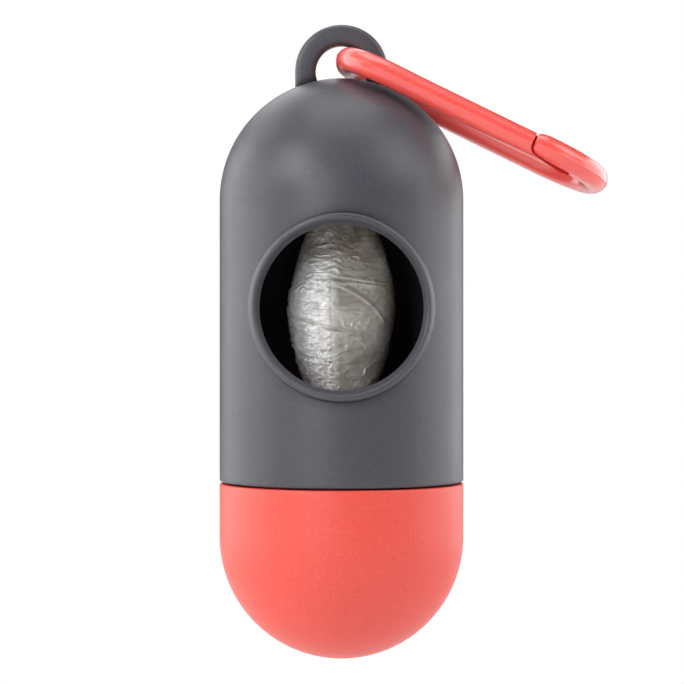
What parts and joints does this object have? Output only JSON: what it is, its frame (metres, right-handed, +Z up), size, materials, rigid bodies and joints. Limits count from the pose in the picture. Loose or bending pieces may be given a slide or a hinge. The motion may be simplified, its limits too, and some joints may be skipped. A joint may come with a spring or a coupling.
{
  "type": "dog poop bag dispenser",
  "caption": "Capsule case with a round window, a screw-on cap, a roll of bags inside, and an oval snap clip through the eye on its dome.",
  "frame": {"origin": "centre of the hole in the hanging eye on top of the dome, on the capsule's axis", "axes": "+Z up along the capsule's axis, -Y out of the window, +X to the right as the window is faced, the side on which the clip lies"},
  "size_m": [0.0635, 0.0408, 0.1038],
  "materials": {
    "case_plastic": "fine matt texture",
    "cap_plastic": "matt",
    "core_paper": "wound paper",
    "bag_film": "crinkled film",
    "clip_plastic": "gloss"
  },
  "bodies": {
    "case_body": {"case": "case_plastic"},
    "clip_body": {"clip_frame": "clip_plastic"},
    "gate_body": {"clip_gate": "clip_plastic"},
    "core_body": {"roll_core": "core_paper"},
    "roll_body": {"bag_roll": "bag_film", "outer_bag": "bag_film"},
    "cap_body": {"cap": "cap_plastic"}
  },
  "joints": [
    {"name": "clip_swing", "type": "hinge", "parent": "case_body", "child": "clip_body", "pos_m": [0.00112, 0, 0.0016], "axis": [0, -1, 0], "range_deg": [-4, 230]},
    {"name": "gate_flex", "type": "hinge", "parent": "clip_body", "child": "gate_body", "pos_m": [0.0119, -0.009, -0.00366], "axis": [0.4383, 0, 0.8988], "range_deg": [0, 18], "stiffness_Nm_per_rad": 0.2},
    {"name": "cap_lift", "type": "slide", "parent": "case_body", "child": "core_body", "axis": [0, 0, -1], "range_m": [0, 0.00375]},
    {"name": "cap_turn", "type": "hinge", "parent": "core_body", "child": "cap_body", "pos_m": [0, 0, -0.0675], "axis": [0, 0, -1], "range_deg": [0, 450]},
    {"name": "roll_spin", "type": "hinge", "parent": "core_body", "child": "roll_body", "pos_m": [0, 0, -0.039], "axis": [0, 0, 1], "continuous": true}
  ],
  "couplings": [
    {"joint": "cap_lift", "follows": "cap_turn", "m_per_rad": 0.00047746}
  ]
}
